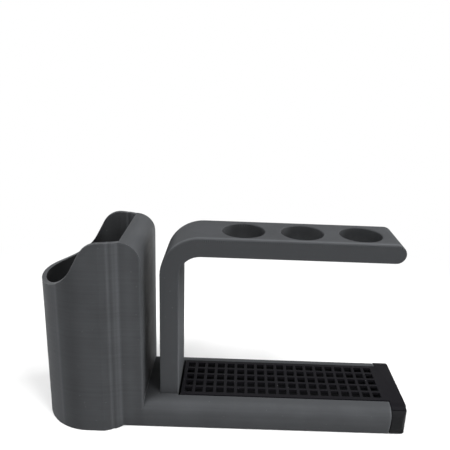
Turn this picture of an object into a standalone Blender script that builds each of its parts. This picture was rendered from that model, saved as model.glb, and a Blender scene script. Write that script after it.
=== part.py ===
"""Toothbrush organizer, printed in four pieces.

A tall cup for the toothpaste and a long low base are one piece. A flat strip bent over at the top
stands in the base and holds three brushes. A drip drawer slides into the base from its right end,
and a perforated drain grid lies on the drawer.

X runs along the length, from the cup to the drawer's cap. Y runs from the front to the back and is
0 on the plane of symmetry. Z is up and is 0 on the counter. Lengths are in metres.
"""
import math

import bmesh
import bpy

# Overall sizes
overall_height = 0.103
cup_length = 0.0539
cup_depth = 0.0516
rack_standoff = 0.0075
bay_length = 0.1112
cap_length = 0.0082

# Base: a long bar with rounded lips and flanks that draw in towards the counter
base_depth = 0.0464
base_height = 0.016
lip_round = 0.006
flank_radius = 0.0245
slot_width = 0.0317
bay_floor = 0.002
divider_thickness = 0.0016
divider_height = 0.009

# Cup: its left end is round, its right end a narrower neck, with small steps where the two meet
wall_thickness = 0.0022
cup_floor = 0.0024
neck_length = 0.0106
neck_corner_round = 0.0011
inner_corner_round = 0.001
blend_length = 0.0089
blend_round = 0.0005
blend_shares = ((0.0, 0.0), (0.35, 0.22), (0.47, 0.4), (0.63, 0.44), (0.8, 0.65), (1.0, 1.0))

# Cup rim: low at the left, a swept rise, a flat top and a rounded right shoulder
low_rim_height = 0.0776
dip_radius = 0.0212
crest_radius = 0.0107
shoulder_radius = 0.0102
plateau_length = 0.0088
rise_angle = math.radians(62.5)

# Brush rack: one strip, bent, with a full round at its free end
strip_thickness = 0.0096
rack_width = 0.0292
bend_radius = 0.0202
arm_setback = 0.0005
brush_hole_count = 3
brush_hole_diameter = 0.0216
brush_hole_pitch = 0.0298
last_hole_inset = 0.0199
strip_chamfer = 0.0004
socket_floor = 0.0024

# Drain grid
grid_thickness = 0.0016
grid_proud = 0.0004
grid_pitch = 0.0056
grid_hole = 0.0041
grid_inset = 0.005
grid_margin = 0.0045
grid_end_gap = 0.0012
grid_setback = 0.0004

# Drip drawer
drawer_wall = 0.0016
drawer_floor = 0.0016
cap_lift = 0.0004
cap_corner_round = 0.004

# Clearance between pieces, and how far a cut runs past what it cuts
fit_gap = 0.0003
overrun = 0.002

# Smoothness of round stretches, in steps, and the turn from which an edge is shaded sharp
cup_steps = 14
corner_steps = 4
flank_steps = 4
lip_steps = 7
sweep_steps = 12
bend_steps = 14
nose_steps = 14
hole_steps = 40
sharp_edge_angle = math.radians(30)

# Printed plastics: linear colours and one roughness
grey_colour = (0.058, 0.060, 0.065)
black_colour = (0.014, 0.014, 0.016)
print_roughness = 0.5

# Stations along X
overall_length = cup_length + rack_standoff + strip_thickness + bay_length + fit_gap + cap_length
left_end = -overall_length / 2
cup_right = left_end + cup_length
leg_left = cup_right + rack_standoff
leg_right = leg_left + strip_thickness
base_end = leg_right + bay_length
cap_start = base_end + fit_gap
cap_end = cap_start + cap_length
bay_left = leg_right + fit_gap + divider_thickness
arm_end = base_end - arm_setback

# Levels along Z
widest_level = base_height - lip_round
grid_top = base_height + grid_proud
grid_bottom = grid_top - grid_thickness
drawer_top = grid_bottom - fit_gap
drawer_bottom = bay_floor + fit_gap


def make_material(name, colour):
    """A printed plastic."""
    material = bpy.data.materials.new(name)
    material.use_nodes = True
    shader = material.node_tree.nodes["Principled BSDF"]
    shader.inputs["Base Color"].default_value = (*colour, 1.0)
    shader.inputs["Roughness"].default_value = print_roughness
    shader.inputs["Metallic"].default_value = 0.0
    return material


def arc(centre, radius, start, end, steps):
    """Points along an arc in a plane, both ends included; the angles are in radians."""
    points = []
    for i in range(steps + 1):
        angle = start + (end - start) * i / steps
        points.append((centre[0] + radius * math.cos(angle), centre[1] + radius * math.sin(angle)))
    return points


def mirrored(half):
    """A closed outline from its half at negative first coordinate."""
    return half + [(-u, v) for u, v in reversed(half)]


def round_corners(corners, steps):
    """A closed outline from (u, v, radius) corners, each replaced by an arc that touches both sides.

    A corner with no radius stays as it is.
    """
    outline = []
    count = len(corners)
    for i, (u, v, radius) in enumerate(corners):
        if radius == 0:
            outline.append((u, v))
            continue
        before = corners[i - 1]
        after = corners[(i + 1) % count]
        back = (before[0] - u, before[1] - v)
        ahead = (after[0] - u, after[1] - v)
        back_length = math.hypot(*back)
        ahead_length = math.hypot(*ahead)
        back = (back[0] / back_length, back[1] / back_length)
        ahead = (ahead[0] / ahead_length, ahead[1] / ahead_length)
        half_angle = math.acos(max(-1.0, min(1.0, back[0] * ahead[0] + back[1] * ahead[1]))) / 2
        reach = min(radius / math.tan(half_angle), back_length / 2, ahead_length / 2)
        first = (u + back[0] * reach, v + back[1] * reach)
        last = (u + ahead[0] * reach, v + ahead[1] * reach)
        for k in range(steps + 1):
            t = k / steps
            near = (1 - t) ** 2
            middle = 2 * t * (1 - t) * math.sin(half_angle)
            far = t ** 2
            total = near + middle + far
            outline.append((
                (near * first[0] + middle * u + far * last[0]) / total,
                (near * first[1] + middle * v + far * last[1]) / total,
            ))
    return outline


def inset(outline, distance):
    """The outline moved inwards by a distance; it runs anticlockwise."""
    moved = []
    count = len(outline)
    for i in range(count):
        u, v = outline[i]
        before = outline[i - 1]
        after = outline[(i + 1) % count]
        first = (u - before[0], v - before[1])
        second = (after[0] - u, after[1] - v)
        first_length = math.hypot(*first)
        second_length = math.hypot(*second)
        normal_one = (-first[1] / first_length, first[0] / first_length)
        normal_two = (-second[1] / second_length, second[0] / second_length)
        total = (normal_one[0] + normal_two[0], normal_one[1] + normal_two[1])
        scale = 2 * distance / (total[0] ** 2 + total[1] ** 2)
        moved.append((u + total[0] * scale, v + total[1] * scale))
    return moved


def new_object(name, mesh_builder, material=None):
    """An object from a bmesh, with its faces pointing out and its round stretches smooth."""
    bmesh.ops.recalc_face_normals(mesh_builder, faces=mesh_builder.faces)
    mesh = bpy.data.meshes.new(name)
    mesh_builder.to_mesh(mesh)
    mesh_builder.free()
    mesh.shade_smooth()
    mesh.set_sharp_from_angle(angle=sharp_edge_angle)
    obj = bpy.data.objects.new(name, mesh)
    bpy.context.scene.collection.objects.link(obj)
    if material:
        mesh.materials.append(material)
    return obj


def loft(name, rings, material=None):
    """A closed solid through rings of 3-D points, one after another, with flat ends."""
    builder = bmesh.new()
    layers = [[builder.verts.new(point) for point in ring] for ring in rings]
    for lower, upper in zip(layers, layers[1:]):
        for i in range(len(lower)):
            j = (i + 1) % len(lower)
            builder.faces.new((lower[i], lower[j], upper[j], upper[i]))
    builder.faces.new(reversed(layers[0]))
    builder.faces.new(layers[-1])
    return new_object(name, builder, material)


def place(point, axis, level):
    """A point of an outline set at a level along the axis that the outline is square to."""
    u, v = point
    if axis == "X":
        return (level, u, v)
    if axis == "Y":
        return (u, level, v)
    return (u, v, level)


def prism(name, outline, axis, low, high, material=None):
    """An outline extruded along an axis from low to high."""
    rings = [[place(point, axis, level) for point in outline] for level in (low, high)]
    return loft(name, rings, material)


def box(name, low, high, material=None):
    """A straight block between two corners."""
    outline = [(low[0], low[1]), (high[0], low[1]), (high[0], high[1]), (low[0], high[1])]
    return prism(name, outline, "Z", low[2], high[2], material)


def as_cutter(obj):
    """Mark a shape that only cuts or joins others."""
    obj.hide_render = True
    obj.display_type = "WIRE"
    return obj


def combine(target, other, operation):
    """Join, cut or intersect a piece with another shape."""
    modifier = target.modifiers.new(other.name, "BOOLEAN")
    modifier.operation = operation
    modifier.object = as_cutter(other)
    modifier.solver = "EXACT"


def flank_half(level):
    """Half the base's depth at a level above the counter."""
    half = base_depth / 2
    if level < widest_level:
        drop = widest_level - level
        return half - flank_radius + math.sqrt(flank_radius ** 2 - drop ** 2)
    rise = min(level - widest_level, lip_round)
    return half - lip_round + math.sqrt(lip_round ** 2 - rise ** 2)


def section_levels(low, high):
    """Levels of the base's section between two limits, closer together where it turns faster."""
    levels = [widest_level * i / flank_steps for i in range(flank_steps)]
    turns = [math.pi / 2 * i / lip_steps for i in range(lip_steps + 1)]
    levels += [widest_level + lip_round * math.sin(turn) for turn in turns]
    tolerance = overrun / 1000
    return [low] + [level for level in levels if low + tolerance < level < high - tolerance] + [high]


def base_section(low, high, lift, limit):
    """The base's outline across its length, between two levels.

    It is raised by lift, and it stays inside limit on both sides.
    """
    half = []
    for level in section_levels(low - lift, high - lift):
        half.append((-min(flank_half(level), limit), level + lift))
    return mirrored(half)


def cup_outline(level, shell):
    """The cup's outline seen from above at a level, drawn in by a shell thickness."""
    reach = cup_depth / 2 - shell
    centre = left_end + cup_depth / 2
    round_end = arc((centre, 0), reach, math.pi, 1.5 * math.pi, cup_steps)
    blend_start = cup_right - neck_length - blend_length
    neck_half = flank_half(min(level, widest_level)) - shell
    corner = neck_corner_round if shell == 0 else inner_corner_round
    front = [(u, v, 0) for u, v in round_end[1:]]
    for along, across in blend_shares:
        depth = reach + (neck_half - reach) * across
        front.append((blend_start + blend_length * along, -depth, blend_round))
    front.append((cup_right - shell, -neck_half, corner))
    corners = [(*round_end[0], 0)] + front + [(u, -v, radius) for u, v, radius in reversed(front)]
    return round_corners(corners, corner_steps)


def rim_line(shell):
    """The top edge of the cup seen from the front, left to right.

    Its right shoulder is drawn in by a shell thickness.
    """
    plateau_end = cup_right - shoulder_radius
    plateau_start = plateau_end - plateau_length
    turn = 1 - math.cos(rise_angle)
    climb = overall_height - low_rim_height
    straight = (climb - (dip_radius + crest_radius) * turn) / math.sin(rise_angle)
    crest_centre = (plateau_start, overall_height - crest_radius)
    crest_foot = plateau_start - crest_radius * math.sin(rise_angle)
    dip_top = crest_foot - straight * math.cos(rise_angle)
    dip_centre = (dip_top - dip_radius * math.sin(rise_angle), low_rim_height + dip_radius)
    down = -math.pi / 2
    line = [(left_end - overrun, low_rim_height)]
    line += arc(dip_centre, dip_radius, down, down + rise_angle, sweep_steps)
    line += arc(crest_centre, crest_radius, math.pi / 2 + rise_angle, math.pi / 2, sweep_steps)
    line += shoulder_line(shell)
    return line


def shoulder_line(shell):
    """The rounded right shoulder of the cup, drawn in by a shell thickness."""
    centre = (cup_right - shoulder_radius, overall_height - shoulder_radius)
    return arc(centre, shoulder_radius - shell, math.pi / 2, 0, sweep_steps)


def cup_body(name, material):
    """The cup's outer form: lofted from the counter up, then trimmed along its rim."""
    levels = [widest_level * i / flank_steps for i in range(flank_steps + 1)]
    levels.append(overall_height + overrun)
    rings = [[(u, v, level) for u, v in cup_outline(level, 0)] for level in levels]
    body = loft(name, rings, material)
    above = overall_height + 2 * overrun
    sky = rim_line(0)
    sky += [(cup_right + overrun, overall_height - shoulder_radius), (cup_right + overrun, above)]
    sky += [(left_end - overrun, above)]
    combine(body, prism("above_rim", sky, "Y", -cup_depth, cup_depth), "DIFFERENCE")
    return body


def cup_hollow():
    """The inside of the cup: its walls are even, and its right shoulder curls in over it."""
    outline = cup_outline(overall_height, wall_thickness)
    hollow = prism("cup_hollow", outline, "Z", cup_floor, overall_height + overrun)
    mouth_edge = cup_right - shoulder_radius
    above = overall_height + 2 * overrun
    side = [(left_end - overrun, above), (left_end - overrun, 0), (cup_right - wall_thickness, 0)]
    side += list(reversed(shoulder_line(wall_thickness)))
    side += [(mouth_edge, above)]
    combine(hollow, prism("cup_side", side, "Y", -cup_depth, cup_depth), "INTERSECT")
    return as_cutter(hollow)


def build_holder_body(material):
    """Cup and base in one piece, with a socket for the rack and a bay for the drawer."""
    body = cup_body("holder_body", material)
    section = base_section(0, base_height, 0, base_depth)
    combine(body, prism("base_bar", section, "X", cup_right - neck_length / 2, base_end), "UNION")
    combine(body, cup_hollow(), "DIFFERENCE")
    sky = base_height + overrun
    slot_half = slot_width / 2
    socket_half = rack_width / 2 + fit_gap
    low = (leg_left - fit_gap, -socket_half, socket_floor)
    combine(body, box("rack_socket", low, (leg_right + fit_gap, socket_half, sky)), "DIFFERENCE")
    low = (leg_right, -slot_half, divider_height)
    combine(body, box("grid_recess", low, (base_end + overrun, slot_half, sky)), "DIFFERENCE")
    low = (bay_left, -slot_half, bay_floor)
    combine(body, box("drawer_bay", low, (base_end + overrun, slot_half, sky)), "DIFFERENCE")
    return body


def rack_outline():
    """The bent strip seen from the front, anticlockwise from its foot."""
    foot = socket_floor + fit_gap
    bend_centre = (leg_left + bend_radius, overall_height - bend_radius)
    inner_radius = bend_radius - strip_thickness
    nose_radius = strip_thickness / 2
    nose_centre = (arm_end - nose_radius, overall_height - nose_radius)
    outline = [(leg_left, foot), (leg_right, foot)]
    outline += arc(bend_centre, inner_radius, math.pi, math.pi / 2, bend_steps)
    outline += arc(nose_centre, nose_radius, -math.pi / 2, math.pi / 2, nose_steps)
    outline += arc(bend_centre, bend_radius, math.pi / 2, math.pi, bend_steps)
    return outline


def brush_hole(index):
    """A cutter for one brush hole, flared by the chamfer at both faces of the arm."""
    centre = arm_end - last_hole_inset - brush_hole_pitch * (brush_hole_count - 1 - index)
    radius = brush_hole_diameter / 2
    top = overall_height
    bottom = overall_height - strip_thickness
    stations = [
        (bottom - overrun, radius + strip_chamfer + overrun),
        (bottom + strip_chamfer, radius),
        (top - strip_chamfer, radius),
        (top + overrun, radius + strip_chamfer + overrun),
    ]
    rings = []
    for level, reach in stations:
        circle = arc((centre, 0), reach, 0, 2 * math.pi, hole_steps)[:-1]
        rings.append([(u, v, level) for u, v in circle])
    return loft(f"brush_hole_{index + 1}", rings)


def build_brush_rack(material):
    """The strip that holds the brushes, with its long edges chamfered."""
    outline = rack_outline()
    small = inset(outline, strip_chamfer)
    half = rack_width / 2
    layers = [
        (-half, small),
        (-half + strip_chamfer, outline),
        (half - strip_chamfer, outline),
        (half, small),
    ]
    rings = [[(u, y, v) for u, v in ring] for y, ring in layers]
    rack = loft("brush_rack", rings, material)
    for index in range(brush_hole_count):
        combine(rack, brush_hole(index), "DIFFERENCE")
    return rack


def cap_form(name, low, high, lift, end, material=None):
    """The end cap between two levels: the base's section with its far corners rounded in plan."""
    turns = [math.pi / 2 * i / corner_steps for i in range(corner_steps + 1)]
    stations = [(cap_start, base_depth / 2)]
    for turn in turns:
        station = end - cap_corner_round * (1 - math.sin(turn))
        stations.append((station, base_depth / 2 - cap_corner_round * (1 - math.cos(turn))))
    rings = []
    for station, limit in stations:
        rings.append([(station, u, v) for u, v in base_section(low, high, lift, limit)])
    return loft(name, rings, material)


def build_drip_drawer(material):
    """The drip tray and its end cap in one piece."""
    half = slot_width / 2 - fit_gap
    left = bay_left + fit_gap
    drawer = cap_form("drip_drawer", cap_lift, drawer_top, 0, cap_end, material)
    low = (left, -half, drawer_bottom)
    combine(drawer, box("tray_block", low, (cap_start + cap_length / 2, half, drawer_top)), "UNION")
    inner_half = half - drawer_wall
    low = (left + drawer_wall, -inner_half, drawer_bottom + drawer_floor)
    high = (base_end - drawer_wall, inner_half, drawer_top + overrun)
    combine(drawer, box("tray_hollow", low, high), "DIFFERENCE")
    return drawer


def grid_holes():
    """All square drain holes in one cutter."""
    builder = bmesh.new()
    half = grid_hole / 2
    columns = int((bay_length - grid_inset - grid_margin) / grid_pitch) + 1
    side_rows = int((slot_width / 2 - grid_margin) / grid_pitch)
    for column in range(columns):
        x = leg_right + grid_inset + grid_pitch * column
        for row in range(-side_rows, side_rows + 1):
            y = grid_pitch * row
            corners = [
                (x - half, y - half),
                (x + half, y - half),
                (x + half, y + half),
                (x - half, y + half),
            ]
            lower = [builder.verts.new((u, v, grid_bottom - overrun)) for u, v in corners]
            upper = [builder.verts.new((u, v, grid_top + overrun)) for u, v in corners]
            builder.faces.new(reversed(lower))
            builder.faces.new(upper)
            for i in range(4):
                j = (i + 1) % 4
                builder.faces.new((lower[i], lower[j], upper[j], upper[i]))
    return new_object("grid_holes", builder)


def build_drain_grid(material):
    """The perforated plate that lies on the drawer, with its end over the cap."""
    half = slot_width / 2 - fit_gap
    end = cap_end - grid_setback
    grid = cap_form("drain_grid", grid_bottom, grid_top, grid_proud, end, material)
    low = (leg_right + grid_end_gap, -half, grid_bottom)
    combine(grid, box("grid_plate", low, (cap_start + cap_length / 2, half, grid_top)), "UNION")
    combine(grid, grid_holes(), "DIFFERENCE")
    return grid


def build():
    """The whole organizer."""
    for obj in list(bpy.data.objects):
        bpy.data.objects.remove(obj, do_unlink=True)
    grey = make_material("grey_print", grey_colour)
    black = make_material("black_print", black_colour)
    build_holder_body(grey)
    build_brush_rack(grey)
    build_drip_drawer(black)
    build_drain_grid(black)


build()
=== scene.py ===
import bpy
import math
from mathutils import Matrix, Vector

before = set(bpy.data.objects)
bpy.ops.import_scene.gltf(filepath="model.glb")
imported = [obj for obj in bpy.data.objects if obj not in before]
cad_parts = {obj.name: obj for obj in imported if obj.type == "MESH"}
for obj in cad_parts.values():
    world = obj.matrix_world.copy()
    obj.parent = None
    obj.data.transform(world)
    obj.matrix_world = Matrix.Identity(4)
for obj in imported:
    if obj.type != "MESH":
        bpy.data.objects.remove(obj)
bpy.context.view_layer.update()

# Lengths are in metres, angles in degrees and colours linear, unless a name says otherwise.
WHITE = (1, 1, 1, 1)

# Camera. The lens and the shift are worked out from the photograph's frame.
IMAGE_SIZE = 450
FOCAL_PIXELS = 518.4
CENTRE_PIXEL = (240.1, 206.1)
SENSOR_MILLIMETRES = 36.0
CAMERA_PLACE = (0.0022, -0.2483, 0.1901)
CAMERA_AZIMUTH = 0.55
CAMERA_ELEVATION = 16.66
CAMERA_ROLL = 2.23
NEAREST_SEEN = 0.01
FARTHEST_SEEN = 20

# Finishes: colour, roughness, specular level and how much paler the edges are, which is a painted
# highlight.
GREY = ((0.043, 0.045, 0.048), 0.62, 0.08, 1.6)
GRID_BLACK = ((0.0043, 0.0040, 0.0054), 0.5, 0.05, 0.35)
DRAWER_BLACK = ((0.0078, 0.008, 0.0088), 0.5, 0.05, 0.35)

# Layers of the print. A face counts as flat where its normal leans this far along the layer axis.
FLAT_LEAN = (0.8, 0.95)
LAYER_HEIGHT = 0.00028
LAYER_DEPTH = 0.000025
RASTER_PITCH = 0.00045
RASTER_DEPTH = 0.00001
STREAK_RELIEF = 0.5
GRAIN_RELIEF = 0.4
BUMP_STRENGTH = 0.6

# Noise in the plastic: size of its features and detail. Streaks run along the layers.
BANDS = (0.0016, 3.0)
STREAKS = (0.00035, 3.0)
STREAK_LENGTH = 0.012
MOTTLE = (0.014, 4.0)
GRAIN = (RASTER_PITCH, 2.0)

# How the noise turns into tone and roughness, and how far these spread to either side.
LAYERED_SHARE = 0.4
TONE_RANGE = (0.6, 1.2)
TONE_SPREAD = 0.14
WEAR_RANGE = (0.7, 1.3)
ROUGHNESS_SPREAD = 0.07

# Pale specks: the radii are shares of the spacing.
SPECK_SPACING = 0.004
SPECK_RADII = (0.05, 0.02)
SPECK_COVER = 0.35
SPECK_COLOUR = (0.3, 0.3, 0.3, 1)

# Paler edges, a painted highlight: how wide they are, and the cosine between a rounded normal and
# the face's own, from a plain face to a full edge.
EDGE_REACH = 0.0006
EDGE_SAMPLES = 4
EDGE_TURN = (0.98, 0.8)

# Painted lines in the walls, highlights where the tone rises and shade where it falls: place along
# an axis, half width, change of tone. Those of the holder stand upright: seven in the cup's wall, and
# one at the right end of the base.
HOLDER_LIGHT_AND_SHADE_LINES = (
    (-0.0826, 0.0012, 0.26),
    (-0.0755, 0.0080, -0.20),
    (-0.0680, 0.0300, -0.06),
    (-0.0567, 0.0012, 0.36),
    (-0.0542, 0.0009, 0.24),
    (-0.0526, 0.0017, 0.44),
    (-0.0474, 0.0038, 0.12),
    (0.0868, 0.0013, 0.50),
)

# The cup's round end is painted paler, a painted highlight of light from the left, and the base is
# paler: where along X the tone changes, and by how much.
ROUND_END_LIMITS = (-0.0832, -0.0822)
ROUND_END_LIGHT_GAIN = 0.18
BASE_LIMITS = (-0.0425, -0.0400)
BASE_GAIN = 0.14

# The rack lay on its side while it was printed. Its front edge is painted paler, a painted highlight,
# with a row of dots along the arm just under it, the print's steps painted as glints, and its leg is
# painted a little paler below the bend, as painted light.
RACK_EDGE_HIGHLIGHT_LINES = ((-0.0129, 0.0017, 0.70),)
DOT_ROWS = ((0.1018, 0.0009, 1.3),)
DOT_PITCH = 0.0009
FRONT_LEAN = (-0.9, -0.99)
LEG_LIMITS = (0.0500, 0.0950)
LEG_LIGHT_GAIN = 0.12

# Painted shade: hollows and narrow gaps are painted darker. How far off walls count, from how open
# to how closed it is, and whether only the piece's own walls count. Where all walls count, the effect
# fades towards the floor.
HOLDER_HOLLOW_SHADE = (
    (0.06, 0.82, 0.42, True),
    (0.03, 0.75, 0.35, False),
)
RACK_HOLLOW_SHADE = ((0.03, 0.92, 0.5, True),)
HOLLOW_FADE = (0.012, 0.035)
HOLLOW_SHADE_GAIN = -0.8
HOLLOW_SAMPLES = 8

# Gloss is drawn out across the layers: the tangent runs round the layer axis, a quarter turn off.
ANISOTROPY = 0.9
QUARTER_TURN = 0.25

# Edges sharper than this stay sharp, and are softened by a small round.
SHARP_ANGLE = 30
JOIN_DISTANCE = 0.000002
LEVEL_ANGLE = 0.5
EDGE_ROUND = 0.00022
EDGE_SEGMENTS = 2

# Floor: how pale it looks, how pale it is where it lights the object, and between which distances
# from its middle the shadows fade out. Further out it is as white as the background.
FLOOR_SIZE = 3.0
FLOOR_SEEN = (0.82, 0.82, 0.82, 1)
FLOOR_BOUNCE = (0.62, 0.62, 0.62, 1)
FLOOR_ROUGHNESS = 0.9
FLOOR_SPECULAR = 0.1
SHADOW_LIMITS = (0.1, 0.3)
WORLD_STRENGTH = 0.12

# Lamps: name, azimuth, elevation, distance, size and watts. Azimuth 0 is in front of the object and 90
# at its right.
LAMPS = (
    ("left_key_lamp", -50, 60, 1.2, 0.4, 9.0),
    ("right_key_lamp", 45, 57, 1.2, 0.4, 10.0),
    ("front_lamp", 5, 40, 1.2, 0.6, 3.9),
    ("left_strip", -84, 12, 1.2, 0.35, 1.8),
    ("left_back_lamp", -130, 25, 1.2, 0.6, 4.0),
    ("low_right_lamp", 95, 18, 1.2, 0.4, 15.0),
)


def make_camera():
    """The camera of the photograph."""
    azimuth = math.radians(CAMERA_AZIMUTH)
    elevation = math.radians(CAMERA_ELEVATION)
    roll = math.radians(CAMERA_ROLL)
    ahead = math.cos(elevation)
    forward = Vector((math.sin(azimuth) * ahead, math.cos(azimuth) * ahead, -math.sin(elevation)))
    level = Vector((math.cos(azimuth), -math.sin(azimuth), 0))
    upright = level.cross(forward)
    up = upright * math.cos(roll) - level * math.sin(roll)
    right = forward.cross(up)
    data = bpy.data.cameras.new("camera")
    data.sensor_width = SENSOR_MILLIMETRES
    data.lens = SENSOR_MILLIMETRES * FOCAL_PIXELS / IMAGE_SIZE
    data.shift_x = (IMAGE_SIZE / 2 - CENTRE_PIXEL[0]) / IMAGE_SIZE
    data.shift_y = (CENTRE_PIXEL[1] - IMAGE_SIZE / 2) / IMAGE_SIZE
    data.clip_start = NEAREST_SEEN
    data.clip_end = FARTHEST_SEEN
    camera = bpy.data.objects.new("camera", data)
    bpy.context.scene.collection.objects.link(camera)
    turn = Matrix((right, up, -forward)).transposed().to_4x4()
    camera.matrix_world = Matrix.Translation(CAMERA_PLACE) @ turn
    bpy.context.scene.camera = camera


def add_node(tree, kind, **settings):
    """A node with some of its properties set."""
    node = tree.nodes.new(kind)
    for name, value in settings.items():
        setattr(node, name, value)
    return node


def feed(tree, socket, value):
    """Links a socket to an input, or sets the input to a constant."""
    if isinstance(value, bpy.types.NodeSocket):
        tree.links.new(value, socket)
    else:
        socket.default_value = value


def calculate(tree, operation, *values):
    """A math node's result."""
    node = add_node(tree, "ShaderNodeMath", operation=operation)
    for socket, value in zip(node.inputs, values):
        feed(tree, socket, value)
    return node.outputs[0]


def remap(tree, value, low, high, out_low, out_high, kind="LINEAR"):
    """A value taken from one range to another, and kept inside it."""
    node = add_node(tree, "ShaderNodeMapRange", interpolation_type=kind)
    limits = (value, low, high, out_low, out_high)
    for name, item in zip(("Value", "From Min", "From Max", "To Min", "To Max"), limits):
        feed(tree, node.inputs[name], item)
    return node.outputs[0]


def mix_colours(tree, share, first, second):
    """A colour between two others."""
    node = add_node(tree, "ShaderNodeMix", data_type="RGBA")
    feed(tree, node.inputs["A"], first)
    feed(tree, node.inputs["B"], second)
    feed(tree, node.inputs["Factor"], share)
    return node.outputs["Result"]


def split_axes(tree, vector):
    """The parts of a vector along X, Y and Z, by name."""
    node = add_node(tree, "ShaderNodeSeparateXYZ")
    feed(tree, node.inputs[0], vector)
    return node.outputs


def wave(tree, along, pitch):
    """A sine wave along a length."""
    return calculate(tree, "SINE", calculate(tree, "MULTIPLY", along, math.tau / pitch))


def noise(tree, vector, size, detail, stretch=(1, 1, 1)):
    """Noise with features of a size, longer along an axis where stretch is above 1."""
    scale = add_node(tree, "ShaderNodeVectorMath", operation="MULTIPLY")
    feed(tree, scale.inputs[0], vector)
    feed(tree, scale.inputs[1], [1 / (size * s) for s in stretch])
    node = add_node(tree, "ShaderNodeTexNoise")
    feed(tree, node.inputs["Vector"], scale.outputs[0])
    feed(tree, node.inputs["Scale"], 1.0)
    feed(tree, node.inputs["Detail"], detail)
    return node.outputs["Fac"]


def layer_bands(tree, height):
    """Noise that stays the same all along a layer."""
    size, detail = BANDS
    node = add_node(tree, "ShaderNodeTexNoise", noise_dimensions="1D")
    feed(tree, node.inputs["W"], height)
    feed(tree, node.inputs["Scale"], 1 / size)
    feed(tree, node.inputs["Detail"], detail)
    return node.outputs["Fac"]


def painted_lines(tree, along, lines, tone):
    """Adds painted lines of highlight and shade, at places along a wall, to its tone."""
    for middle, half_width, gain in lines:
        away = calculate(tree, "ABSOLUTE", calculate(tree, "SUBTRACT", along, middle))
        line = remap(tree, away, 0.0, half_width, gain, 0.0, "SMOOTHSTEP")
        tone = calculate(tree, "ADD", tone, line)
    return tone


def edge_highlight(tree):
    """Painted highlight on edges: 0 on a face, 1 on an edge."""
    rounded = add_node(tree, "ShaderNodeBevel", samples=EDGE_SAMPLES)
    feed(tree, rounded.inputs["Radius"], EDGE_REACH)
    plain = add_node(tree, "ShaderNodeNewGeometry")
    match = add_node(tree, "ShaderNodeVectorMath", operation="DOT_PRODUCT")
    feed(tree, match.inputs[0], rounded.outputs[0])
    feed(tree, match.inputs[1], plain.outputs["Normal"])
    return remap(tree, match.outputs["Value"], *EDGE_TURN, 0.0, 1.0)


def hollow_shade(tree, height, hollows):
    """Painted shade in hollows and narrow gaps: 0 in the open, below 0 where it is closed in."""
    tone = 0.0
    for reach, most_open, most_closed, own_walls in hollows:
        shelter = add_node(
            tree, "ShaderNodeAmbientOcclusion", samples=HOLLOW_SAMPLES, only_local=own_walls
        )
        feed(tree, shelter.inputs["Distance"], reach)
        closed = remap(tree, shelter.outputs["AO"], most_open, most_closed, 0.0, HOLLOW_SHADE_GAIN)
        if not own_walls:
            closed = calculate(tree, "MULTIPLY", closed, remap(tree, height, *HOLLOW_FADE, 0.0, 1.0))
        tone = calculate(tree, "MINIMUM", tone, closed)
    return tone


def holder_tone(tree, coordinates):
    """The holder's painted lines of highlight and shade, its round end painted paler, its paler base,
    and painted shade in its hollows.
    """
    place = split_axes(tree, coordinates["Object"])
    # The round end is painted paler: painted light.
    end = remap(tree, place["X"], *ROUND_END_LIMITS, ROUND_END_LIGHT_GAIN, 0.0, "SMOOTHSTEP")
    base = remap(tree, place["X"], *BASE_LIMITS, 0.0, BASE_GAIN, "SMOOTHSTEP")
    tone = calculate(tree, "ADD", end, base)
    # Hollows and gaps are painted darker: painted shade.
    tone = calculate(tree, "ADD", tone, hollow_shade(tree, place["Z"], HOLDER_HOLLOW_SHADE))
    # Lines of painted highlight and shade along the cup's wall and the base's end.
    return painted_lines(tree, place["X"], HOLDER_LIGHT_AND_SHADE_LINES, tone)


def rack_tone(tree, coordinates):
    """The rack's painted highlight on its front edge, its leg painted paler, the dots on its front
    face painted as glints, and painted shade in its hollows.
    """
    place = split_axes(tree, coordinates["Object"])
    facing = split_axes(tree, coordinates["Normal"])
    front = remap(tree, facing["Y"], *FRONT_LEAN, 0.0, 1.0)
    # The dots are painted glints on the print's steps.
    row = calculate(tree, "MULTIPLY", painted_lines(tree, place["Z"], DOT_ROWS, 0.0), front)
    dots = calculate(tree, "MULTIPLY", wave(tree, place["X"], DOT_PITCH), row)
    # The leg is painted paler: painted light.
    leg = remap(tree, place["Z"], *LEG_LIMITS, LEG_LIGHT_GAIN, 0.0, "SMOOTHSTEP")
    tone = calculate(tree, "ADD", leg, dots)
    # Hollows and gaps are painted darker: painted shade.
    tone = calculate(tree, "ADD", tone, hollow_shade(tree, place["Z"], RACK_HOLLOW_SHADE))
    # The front edge gets a painted highlight.
    return painted_lines(tree, place["Y"], RACK_EDGE_HIGHLIGHT_LINES, tone)


def print_colour(tree, colour, shade, gain, place):
    """The plastic's colour by its shade, made paler by a gain that carries the painted highlights and
    shade, with a few pale specks.
    """
    dark = (*[c * (1 - TONE_SPREAD) for c in colour], 1)
    pale = (*[c * (1 + TONE_SPREAD) for c in colour], 1)
    toned = add_node(tree, "ShaderNodeVectorMath", operation="SCALE")
    feed(tree, toned.inputs[0], mix_colours(tree, shade, dark, pale))
    feed(tree, toned.inputs["Scale"], calculate(tree, "ADD", gain, 1.0))
    specks = add_node(tree, "ShaderNodeTexVoronoi")
    feed(tree, specks.inputs["Vector"], place)
    feed(tree, specks.inputs["Scale"], 1 / SPECK_SPACING)
    cover = remap(tree, specks.outputs["Distance"], *SPECK_RADII, 0.0, SPECK_COVER)
    return mix_colours(tree, cover, toned.outputs[0], SPECK_COLOUR)


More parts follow.
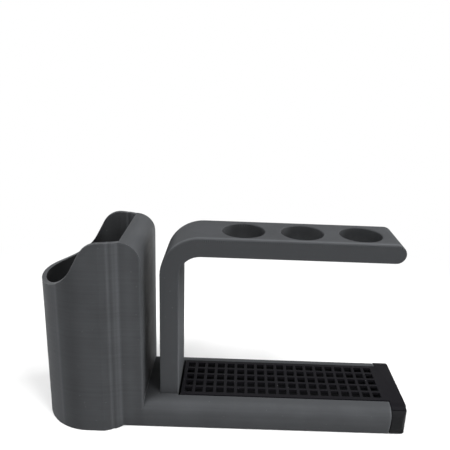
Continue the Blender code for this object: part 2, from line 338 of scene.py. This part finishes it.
def print_relief(tree, place, layer_axis, flat, upright, streaks):
    """The print's normal: ridges on upright faces, raster lines on flat ones, and a fine grain."""
    axes = split_axes(tree, place)
    ridges = wave(tree, axes[layer_axis], LAYER_HEIGHT)
    rough = calculate(tree, "MULTIPLY", streaks, STREAK_RELIEF)
    relief = calculate(tree, "MULTIPLY", calculate(tree, "ADD", ridges, rough), upright)

    diagonal = calculate(tree, "ADD", *[axes[axis] for axis in "XYZ" if axis != layer_axis])
    raster = calculate(tree, "MULTIPLY", wave(tree, diagonal, RASTER_PITCH * math.sqrt(2)), flat)
    lines = calculate(tree, "MULTIPLY", raster, RASTER_DEPTH / LAYER_DEPTH)
    relief = calculate(tree, "ADD", relief, lines)

    grain = calculate(tree, "MULTIPLY", noise(tree, place, *GRAIN), GRAIN_RELIEF)
    bump = add_node(tree, "ShaderNodeBump")
    feed(tree, bump.inputs["Distance"], LAYER_DEPTH)
    feed(tree, bump.inputs["Strength"], BUMP_STRENGTH)
    feed(tree, bump.inputs["Height"], calculate(tree, "ADD", relief, grain))
    return bump.outputs[0]


def print_material(name, finish, layer_axis, painted_light_and_tone=None):
    """Printed plastic with its layers stacked along an axis.

    Ridges and streaks run along the layers. Faces square to the axis show the diagonal raster of a
    layer instead. A slow mottle and a few pale specks break up the colour. Edges get a painted
    highlight. The last argument is a function that adds tones at places of one piece, mostly painted
    highlights and shade.
    """
    colour, roughness, specular, edge_highlight_gain = finish
    material = bpy.data.materials.new(name)
    material.use_nodes = True
    tree = material.node_tree
    shader = tree.nodes["Principled BSDF"]
    coordinates = add_node(tree, "ShaderNodeTexCoord").outputs
    place = coordinates["Object"]
    lean = calculate(tree, "ABSOLUTE", split_axes(tree, coordinates["Normal"])[layer_axis])
    flat = remap(tree, lean, *FLAT_LEAN, 0.0, 1.0)
    upright = calculate(tree, "SUBTRACT", 1.0, flat)

    mottle = noise(tree, place, *MOTTLE)
    size, detail = STREAKS
    stretch = [1 if axis == layer_axis else STREAK_LENGTH / size for axis in "XYZ"]
    streaks = noise(tree, place, size, detail, stretch)
    bands = layer_bands(tree, split_axes(tree, place)[layer_axis])
    layered = calculate(tree, "MULTIPLY", calculate(tree, "ADD", bands, streaks), upright)
    tone = calculate(tree, "ADD", calculate(tree, "MULTIPLY", layered, LAYERED_SHARE), mottle)
    shade = remap(tree, tone, *TONE_RANGE, 0.0, 1.0)
    # Edges are made paler: a painted highlight.
    gain = calculate(tree, "MULTIPLY", edge_highlight(tree), edge_highlight_gain)
    # Painted highlights and shade at places of the piece.
    if painted_light_and_tone:
        gain = calculate(tree, "ADD", gain, painted_light_and_tone(tree, coordinates))
    feed(tree, shader.inputs["Base Color"], print_colour(tree, colour, shade, gain, place))

    worn = calculate(tree, "ADD", streaks, mottle)
    limits = (roughness - ROUGHNESS_SPREAD, roughness + ROUGHNESS_SPREAD)
    feed(tree, shader.inputs["Roughness"], remap(tree, worn, *WEAR_RANGE, *limits))
    feed(tree, shader.inputs["Specular IOR Level"], specular)
    feed(tree, shader.inputs["Anisotropic"], calculate(tree, "MULTIPLY", upright, ANISOTROPY))
    feed(tree, shader.inputs["Anisotropic Rotation"], QUARTER_TURN)
    if layer_axis != "Z":
        tangent = add_node(tree, "ShaderNodeTangent", direction_type="RADIAL", axis=layer_axis)
        feed(tree, shader.inputs["Tangent"], tangent.outputs[0])
    relief = print_relief(tree, place, layer_axis, flat, upright, streaks)
    feed(tree, shader.inputs["Normal"], relief)
    return material


def smoothing_group():
    """Shades everything but the sharp edges smooth."""
    tree = bpy.data.node_groups.new("smooth_shading", "GeometryNodeTree")
    tree.interface.new_socket("Geometry", in_out="INPUT", socket_type="NodeSocketGeometry")
    tree.interface.new_socket("Geometry", in_out="OUTPUT", socket_type="NodeSocketGeometry")
    start = add_node(tree, "NodeGroupInput")
    smooth = add_node(tree, "GeometryNodeSetShadeSmooth")
    feed(tree, smooth.inputs["Geometry"], start.outputs[0])
    angle = add_node(tree, "GeometryNodeInputMeshEdgeAngle")
    sharp = add_node(tree, "FunctionNodeCompare", operation="GREATER_THAN")
    feed(tree, sharp.inputs["A"], angle.outputs["Unsigned Angle"])
    feed(tree, sharp.inputs["B"], math.radians(SHARP_ANGLE))
    normal = add_node(tree, "GeometryNodeSetMeshNormal", mode="SHARPNESS")
    feed(tree, normal.inputs["Mesh"], smooth.outputs[0])
    feed(tree, normal.inputs["Edge Sharpness"], sharp.outputs[0])
    end = add_node(tree, "NodeGroupOutput")
    feed(tree, end.inputs[0], normal.outputs[0])
    return tree


def dress(node, material, smoothing):
    """Gives a piece of the frame its material, smooth shading and softened edges.

    The frame's separate triangles are joined first, and those in one plane become one face.
    """
    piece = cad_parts[node]
    piece.data.materials.clear()
    piece.data.materials.append(material)
    join = piece.modifiers.new("join", "WELD")
    join.merge_threshold = JOIN_DISTANCE
    level = piece.modifiers.new("level", "DECIMATE")
    level.decimate_type = "DISSOLVE"
    level.angle_limit = math.radians(LEVEL_ANGLE)
    shading = piece.modifiers.new("smooth_shading", "NODES")
    shading.node_group = smoothing
    edges = piece.modifiers.new("soft_edges", "BEVEL")
    edges.limit_method = "ANGLE"
    edges.angle_limit = math.radians(SHARP_ANGLE)
    edges.width = EDGE_ROUND
    edges.segments = EDGE_SEGMENTS
    edges.use_clamp_overlap = False
    edges.harden_normals = True


def dress_pieces():
    """Dresses the four pieces. All but the rack were printed the way they stand."""
    smoothing = smoothing_group()
    dress("holder_body", print_material("grey_print", GREY, "Z", holder_tone), smoothing)
    dress("brush_rack", print_material("grey_print_on_side", GREY, "Y", rack_tone), smoothing)
    dress("drip_drawer", print_material("drawer_print", DRAWER_BLACK, "Z"), smoothing)
    dress("drain_grid", print_material("black_print", GRID_BLACK, "Z"), smoothing)


def seen_directly(tree):
    """1 for rays that show a surface, straight, in gloss or through glass, and 0 for others."""
    rays = add_node(tree, "ShaderNodeLightPath")
    seen = calculate(tree, "MAXIMUM", rays.outputs["Is Camera Ray"], rays.outputs["Is Glossy Ray"])
    return calculate(tree, "MAXIMUM", seen, rays.outputs["Is Transmission Ray"])


def floor_material():
    """A pale floor that shows shadows near its middle and is as white as the background further out.

    It throws less light on the object than its paleness would.
    """
    material = bpy.data.materials.new("floor")
    material.use_nodes = True
    tree = material.node_tree
    shader = tree.nodes["Principled BSDF"]
    paint = mix_colours(tree, seen_directly(tree), FLOOR_BOUNCE, FLOOR_SEEN)
    feed(tree, shader.inputs["Base Color"], paint)
    feed(tree, shader.inputs["Roughness"], FLOOR_ROUGHNESS)
    feed(tree, shader.inputs["Specular IOR Level"], FLOOR_SPECULAR)
    away = add_node(tree, "ShaderNodeVectorMath", operation="LENGTH")
    feed(tree, away.inputs[0], add_node(tree, "ShaderNodeTexCoord").outputs["Object"])
    fade = remap(tree, away.outputs["Value"], *SHADOW_LIMITS, 0.0, 1.0, "SMOOTHSTEP")
    blend = add_node(tree, "ShaderNodeMixShader")
    feed(tree, blend.inputs[0], calculate(tree, "MULTIPLY", fade, seen_directly(tree)))
    feed(tree, blend.inputs[1], shader.outputs[0])
    feed(tree, blend.inputs[2], add_node(tree, "ShaderNodeEmission").outputs[0])
    feed(tree, tree.nodes["Material Output"].inputs["Surface"], blend.outputs[0])
    return material


def make_floor():
    """A plain square floor."""
    mesh = bpy.data.meshes.new("floor")
    half = FLOOR_SIZE / 2
    corners = [(-half, -half, 0), (half, -half, 0), (half, half, 0), (-half, half, 0)]
    mesh.from_pydata(corners, [], [(0, 1, 2, 3)])
    mesh.materials.append(floor_material())
    floor = bpy.data.objects.new("floor", mesh)
    bpy.context.scene.collection.objects.link(floor)


def make_world():
    """Even light, with a white background."""
    world = bpy.data.worlds.new("studio")
    world.use_nodes = True
    tree = world.node_tree
    light = tree.nodes["Background"]
    feed(tree, light.inputs["Color"], WHITE)
    feed(tree, light.inputs["Strength"], WORLD_STRENGTH)
    white = add_node(tree, "ShaderNodeBackground")
    feed(tree, white.inputs["Color"], WHITE)
    blend = add_node(tree, "ShaderNodeMixShader")
    feed(tree, blend.inputs[0], seen_directly(tree))
    feed(tree, blend.inputs[1], light.outputs[0])
    feed(tree, blend.inputs[2], white.outputs[0])
    feed(tree, tree.nodes["World Output"].inputs["Surface"], blend.outputs[0])
    bpy.context.scene.world = world


def add_lamp(name, azimuth, elevation, distance, size, power):
    """A square soft lamp that points at the object."""
    turn = math.radians(azimuth)
    rise = math.radians(elevation)
    level = math.cos(rise)
    way = Vector((math.sin(turn) * level, -math.cos(turn) * level, math.sin(rise)))
    data = bpy.data.lights.new(name, "AREA")
    data.size = size
    data.energy = power
    lamp = bpy.data.objects.new(name, data)
    bpy.context.scene.collection.objects.link(lamp)
    lamp.location = way * distance
    lamp.visible_camera = False
    lamp.rotation_mode = "QUATERNION"
    lamp.rotation_quaternion = way.to_track_quat("Z", "Y")


make_camera()
dress_pieces()
make_floor()
make_world()
for lamp in LAMPS:
    add_lamp(*lamp)
bpy.context.scene.view_settings.view_transform = "Standard"
